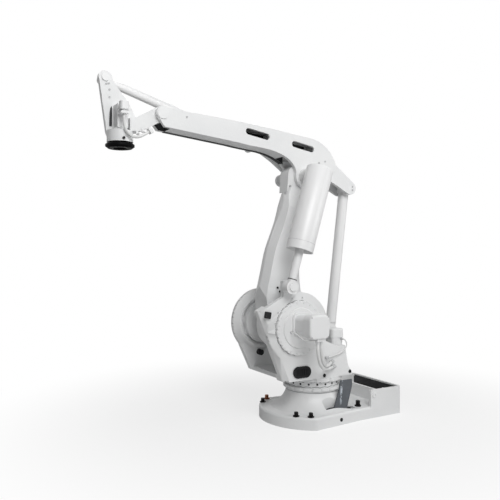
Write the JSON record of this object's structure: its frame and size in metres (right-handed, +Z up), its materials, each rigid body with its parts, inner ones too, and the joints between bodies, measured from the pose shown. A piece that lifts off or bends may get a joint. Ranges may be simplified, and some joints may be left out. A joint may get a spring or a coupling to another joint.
{
  "type": "palletising robot arm",
  "caption": "Floor-standing palletising robot: slewing frame, bowed lower arm, long upper arm, parallel linkages, balancer and a level turning tool flange.",
  "frame": {"origin": "on the floor, on the vertical axis that the whole robot slews about, at the underside of the base", "axes": "+Z up, +X the way the arm reaches, +Y to the robot's left, the balancer's side"},
  "size_m": [2.6195, 1.214, 2.782],
  "materials": {
    "white_paint": "satin",
    "black_paint": "satin",
    "pin_steel": "satin",
    "bearing_steel": "satin",
    "slate_guard": "matte",
    "stop_rubber": "matte",
    "plate_aluminium": "satin",
    "black_plastic": "matte",
    "white_conduit": "matte"
  },
  "bodies": {
    "base": {"base_casting": "white_paint", "slew_bearing": "bearing_steel", "slew_gear_unit": "bearing_steel", "cable_guard": "slate_guard", "connector_plate": "plate_aluminium", "cable_sockets": "black_plastic"},
    "frame": {"turntable": "white_paint", "frame_casting": "white_paint", "vent_cover": "black_plastic", "bump_stop": "stop_rubber", "far_damper": "stop_rubber", "shoulder_gear_unit": "white_paint", "link_gear_unit": "white_paint", "shoulder_cover": "white_paint", "link_cover": "white_paint", "shoulder_motor": "white_paint", "shoulder_motor_cap": "white_paint", "link_motor": "white_paint", "link_motor_cap": "white_paint", "slew_motor": "white_paint", "slew_motor_cap": "white_paint", "balance_pin": "pin_steel", "anchor_pin": "pin_steel", "terminal_box_near": "white_paint", "terminal_box_far": "white_paint", "conduit_front": "white_conduit", "conduit_rear": "white_conduit", "far_conduit_front": "white_conduit", "far_conduit_rear": "white_conduit", "motor_lead": "white_conduit", "slew_lead": "white_conduit", "cable_glands": "white_conduit", "far_cable_glands": "white_conduit"},
    "lower_arm": {"lower_arm": "white_paint", "elbow_shaft": "pin_steel", "elbow_nut": "white_paint"},
    "link_lever": {"link_lever": "white_paint", "lever_front_pin": "pin_steel", "lever_rear_pin": "pin_steel"},
    "lower_link_rod": {"lower_link_rod": "white_paint"},
    "upper_arm": {"upper_arm": "white_paint", "tail_pin": "pin_steel", "wrist_shaft": "pin_steel", "wrist_caps": "white_paint"},
    "parallel_crank": {"parallel_crank": "white_paint", "crank_shaft": "pin_steel"},
    "rod_pin": {"crank_pin": "pin_steel"},
    "parallel_rod": {"parallel_rod": "white_paint"},
    "upper_link_rod": {"upper_link_rod": "white_paint"},
    "tilt_house": {"tilt_house": "white_paint", "tilt_pin": "pin_steel", "tool_motor": "white_paint", "wrist_connector": "white_paint", "wrist_hose": "white_conduit", "hose_brackets": "pin_steel"},
    "tool_flange": {"tool_flange": "black_paint"},
    "balance_cylinder": {"balance_cylinder": "white_paint"},
    "balance_rod": {"balance_rod": "bearing_steel"}
  },
  "joints": [
    {"name": "axis_1", "type": "hinge", "parent": "base", "child": "frame", "pos_m": [0, 0, 0.248], "axis": [0, 0, 1], "range_deg": [-180, 180]},
    {"name": "axis_2", "type": "hinge", "parent": "frame", "child": "lower_arm", "pos_m": [0.3, 0, 0.8145], "axis": [0, 1, 0], "range_deg": [-28, 55]},
    {"name": "lever_turn", "type": "hinge", "parent": "lower_arm", "child": "link_lever", "pos_m": [0.1429, 0, 2.08482], "axis": [0, 1, 0], "range_deg": [-55.5, 28.5]},
    {"name": "lower_link_turn", "type": "hinge", "parent": "frame", "child": "lower_link_rod", "pos_m": [0.16213, 0, 0.83881], "axis": [0, 1, 0], "range_deg": [-28.5, 55.5]},
    {"name": "axis_3", "type": "hinge", "parent": "link_lever", "child": "upper_arm", "pos_m": [0.1429, 0, 2.08482], "axis": [0, 1, 0], "range_deg": [-2.9, 40]},
    {"name": "crank_turn", "type": "hinge", "parent": "frame", "child": "parallel_crank", "pos_m": [0.3, 0, 0.8145], "axis": [0, 1, 0], "range_deg": [-3.4, 40.5]},
    {"name": "rod_pin_turn", "type": "hinge", "parent": "parallel_crank", "child": "rod_pin", "pos_m": [-0.19992, 0, 0.73889], "axis": [0, 1, 0], "range_deg": [-40.5, 3.4]},
    {"name": "parallel_rod_turn", "type": "hinge", "parent": "rod_pin", "child": "parallel_rod", "pos_m": [-0.19992, 0, 0.73889], "axis": [0, 1, 0], "range_deg": [-28.5, 55.5]},
    {"name": "upper_link_turn", "type": "hinge", "parent": "link_lever", "child": "upper_link_rod", "pos_m": [0.53422, 0, 2.33508], "axis": [0, 1, 0], "range_deg": [-3.4, 40.5]},
    {"name": "tilt_turn", "type": "hinge", "parent": "upper_arm", "child": "tilt_house", "pos_m": [1.43322, 0, 2.48178], "axis": [0, 1, 0], "range_deg": [-40.5, 3.4]},
    {"name": "axis_6", "type": "hinge", "parent": "tilt_house", "child": "tool_flange", "pos_m": [1.73222, 0, 2.20378], "axis": [0, 0, -1], "range_deg": [-300, 300]},
    {"name": "balance_cylinder_turn", "type": "hinge", "parent": "lower_arm", "child": "balance_cylinder", "pos_m": [0.1429, 0.3, 2.08482], "axis": [0, 1, 0], "range_deg": [-9.07, 17.33]},
    {"name": "balance_rod_turn", "type": "hinge", "parent": "frame", "child": "balance_rod", "pos_m": [0.42578, 0.3, 1.15821], "axis": [0, 1, 0], "range_deg": [-37.07, 72.33]}
  ],
  "couplings": [
    {"joint": "lever_turn", "follows": "axis_2", "ratio": -1},
    {"joint": "lower_link_turn", "follows": "axis_2", "ratio": 1},
    {"joint": "parallel_rod_turn", "follows": "axis_2", "ratio": 1},
    {"joint": "balance_cylinder_turn", "follows": "axis_2", "ratio": 0.306},
    {"joint": "balance_rod_turn", "follows": "axis_2", "ratio": 1.306},
    {"joint": "crank_turn", "follows": "axis_3", "ratio": 1},
    {"joint": "rod_pin_turn", "follows": "axis_3", "ratio": -1},
    {"joint": "upper_link_turn", "follows": "axis_3", "ratio": 1},
    {"joint": "tilt_turn", "follows": "axis_3", "ratio": -1}
  ]
}
